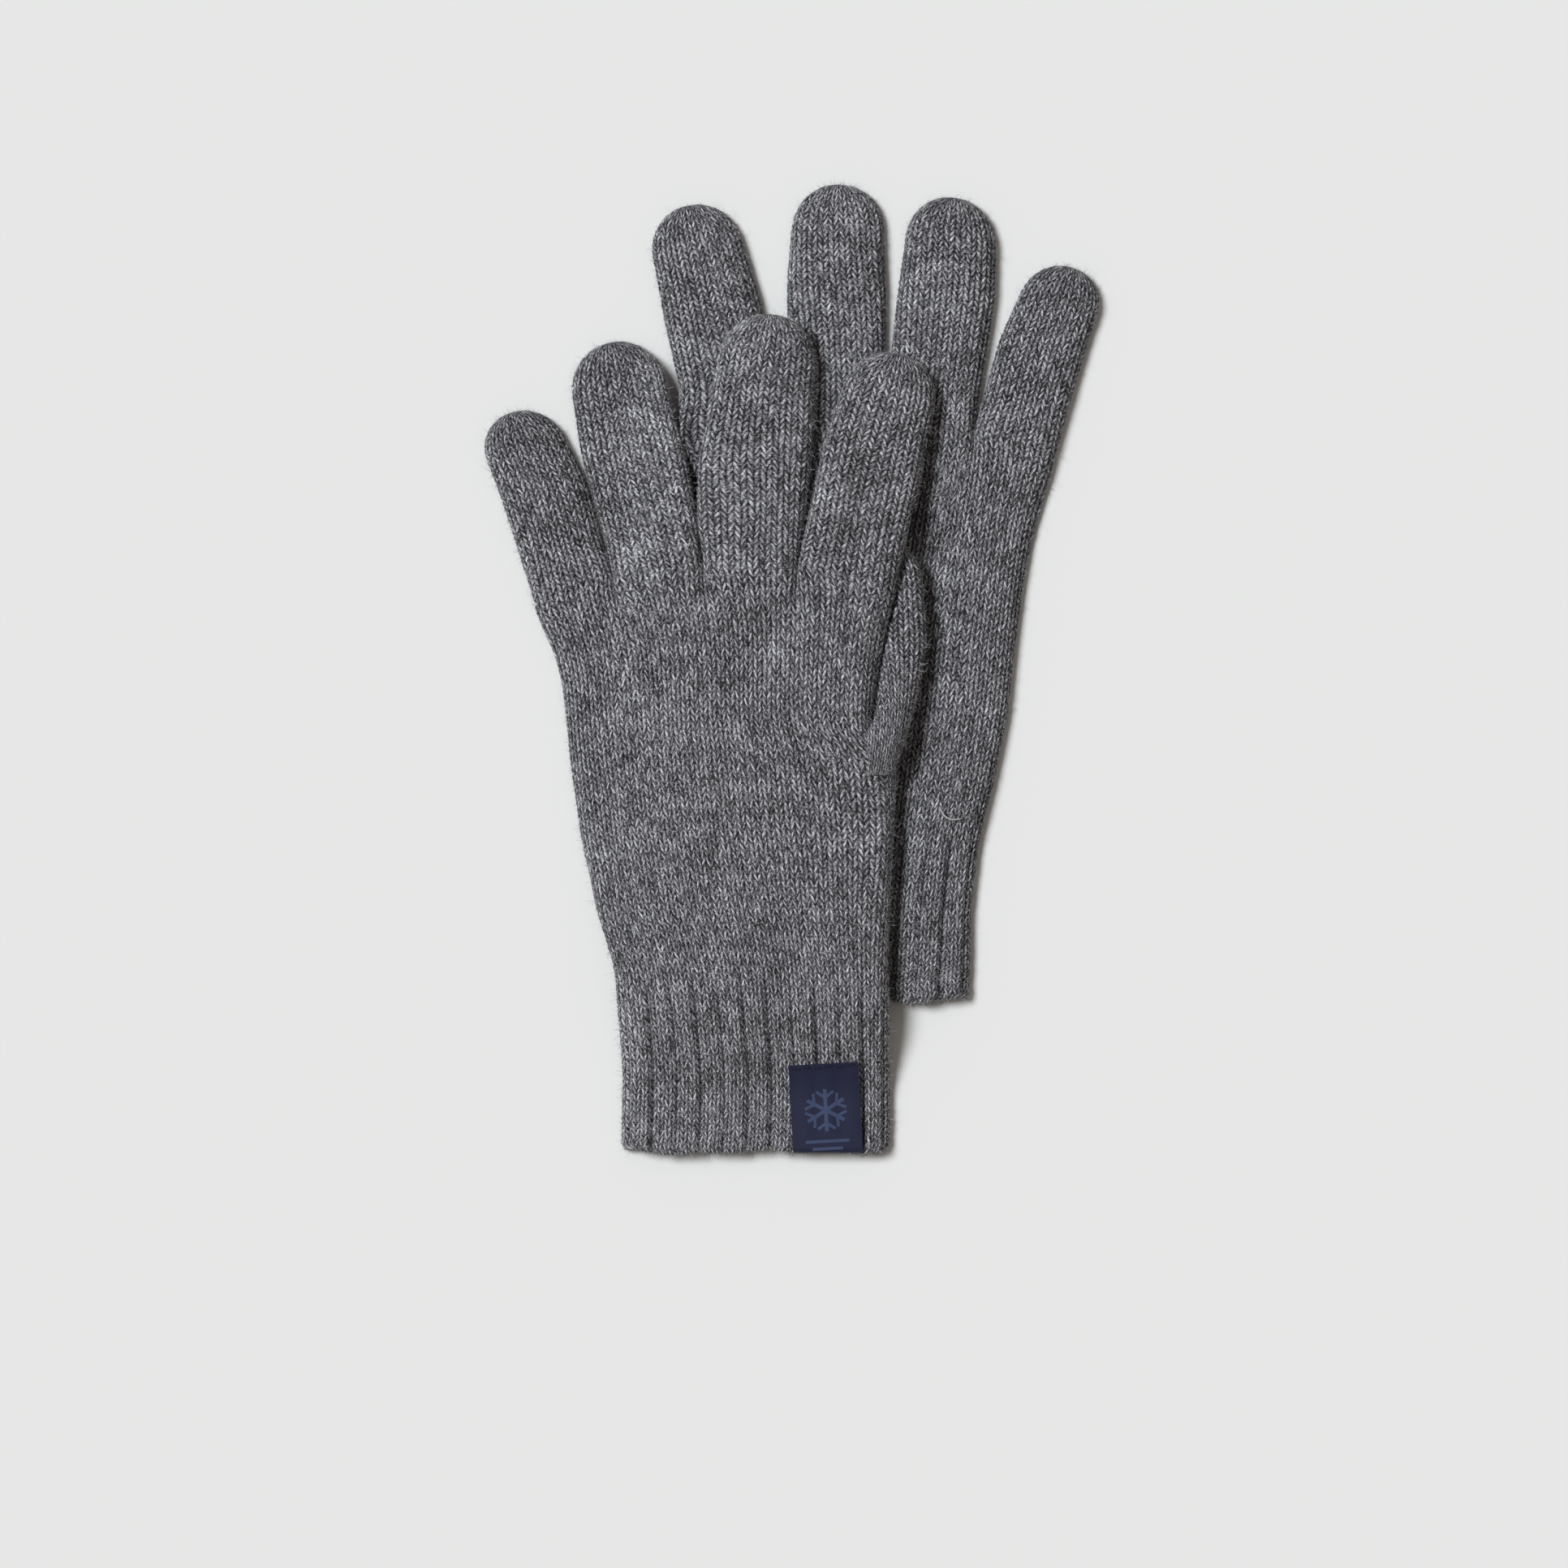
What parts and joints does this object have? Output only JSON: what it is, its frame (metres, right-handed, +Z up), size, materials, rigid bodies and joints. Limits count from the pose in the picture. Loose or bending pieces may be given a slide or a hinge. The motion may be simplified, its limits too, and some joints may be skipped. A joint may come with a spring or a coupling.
{
  "type": "pair of knitted gloves",
  "caption": "Pair of knitted wool gloves lying flat one on the other, with ribbed cuffs, thumbs tucked under the palms and a folded ribbon label on one hem.",
  "frame": {"origin": "on the surface that the pair lies on, below the middle of the pair's bounding box", "axes": "+Z up, away from the surface; +Y towards the fingertips; +X to the right when the fingertips point away from the viewer"},
  "size_m": [0.1808, 0.2914, 0.025],
  "materials": {
    "knit": "grey marled wool, plain knit",
    "rib": "grey marled wool, ribbed knit",
    "ribbon": "navy twill ribbon",
    "print": "printed lighter blue",
    "thread": "dark sewing thread"
  },
  "bodies": {
    "right_hand": {"right_hand": "knit"},
    "left_hand": {"left_hand": "knit"},
    "left_cuff": {"left_cuff": "rib", "label_ribbon": "ribbon", "label_print": "print", "label_stitches": "thread"},
    "left_thumb": {"left_thumb": "knit"},
    "left_little_finger": {"left_little_finger": "knit"},
    "left_ring_finger": {"left_ring_finger": "knit"},
    "left_middle_finger": {"left_middle_finger": "knit"},
    "left_index_finger": {"left_index_finger": "knit"},
    "right_cuff": {"right_cuff": "rib"},
    "right_thumb": {"right_thumb": "knit"},
    "right_little_finger": {"right_little_finger": "knit"},
    "right_ring_finger": {"right_ring_finger": "knit"},
    "right_middle_finger": {"right_middle_finger": "knit"},
    "right_index_finger": {"right_index_finger": "knit"}
  },
  "joints": [
    {"name": "left_glove_lift", "type": "slide", "parent": "right_hand", "child": "left_hand", "axis": [0, 0, 1], "range_m": [0, 0.12]},
    {"name": "left_little_finger_raise", "type": "hinge", "parent": "left_hand", "child": "left_little_finger", "pos_m": [-0.06538, 0.02422, 0.00942], "axis": [0.9247, 0.3264, 0.1961], "range_deg": [0, 90]},
    {"name": "left_ring_finger_raise", "type": "hinge", "parent": "left_hand", "child": "left_ring_finger", "pos_m": [-0.04018, 0.02962, 0.0204], "axis": [0.9849, 0.0889, 0.1483], "range_deg": [0, 90]},
    {"name": "left_middle_finger_raise", "type": "hinge", "parent": "left_hand", "child": "left_middle_finger", "pos_m": [-0.01283, 0.03082, 0.0231], "axis": [0.9972, 0, 0.0748], "range_deg": [0, 90]},
    {"name": "left_index_finger_raise", "type": "hinge", "parent": "left_hand", "child": "left_index_finger", "pos_m": [0.01572, 0.02722, 0.0234], "axis": [0.9662, -0.2399, -0.0946], "range_deg": [0, 90]},
    {"name": "left_cuff_fold", "type": "hinge", "parent": "left_hand", "child": "left_cuff", "pos_m": [-0.01333, -0.08653, 0.0175], "axis": [-1, 0, 0], "range_deg": [0, 90]},
    {"name": "right_little_finger_flex", "type": "hinge", "parent": "right_hand", "child": "right_little_finger", "pos_m": [0.06592, 0.06692, -0.0003], "axis": [-0.9834, 0.1812, 0], "range_deg": [0, 90]},
    {"name": "right_ring_finger_flex", "type": "hinge", "parent": "right_hand", "child": "right_ring_finger", "pos_m": [0.04072, 0.07232, -0.0003], "axis": [-0.9974, 0.0725, 0], "range_deg": [0, 90]},
    {"name": "right_middle_finger_flex", "type": "hinge", "parent": "right_hand", "child": "right_middle_finger", "pos_m": [0.01337, 0.07352, -0.0003], "axis": [-1, 0, 0], "range_deg": [0, 90]},
    {"name": "right_index_finger_flex", "type": "hinge", "parent": "right_hand", "child": "right_index_finger", "pos_m": [-0.01518, 0.06992, -0.0003], "axis": [-0.9818, -0.1898, 0], "range_deg": [0, 90]},
    {"name": "right_cuff_fold", "type": "hinge", "parent": "right_hand", "child": "right_cuff", "pos_m": [0.01387, -0.04383, -0.0003], "axis": [1, 0, 0], "range_deg": [0, 90]},
    {"name": "left_thumb_swing", "type": "hinge", "parent": "left_hand", "child": "left_thumb", "pos_m": [0.03442, -0.02208, 0.0112], "axis": [0, 0, -1], "range_deg": [0, 40]},
    {"name": "right_thumb_flex", "type": "hinge", "parent": "right_hand", "child": "right_thumb", "pos_m": [-0.02888, 0.02072, -0.0003], "axis": [-1, 0, 0], "range_deg": [0, 60]}
  ]
}
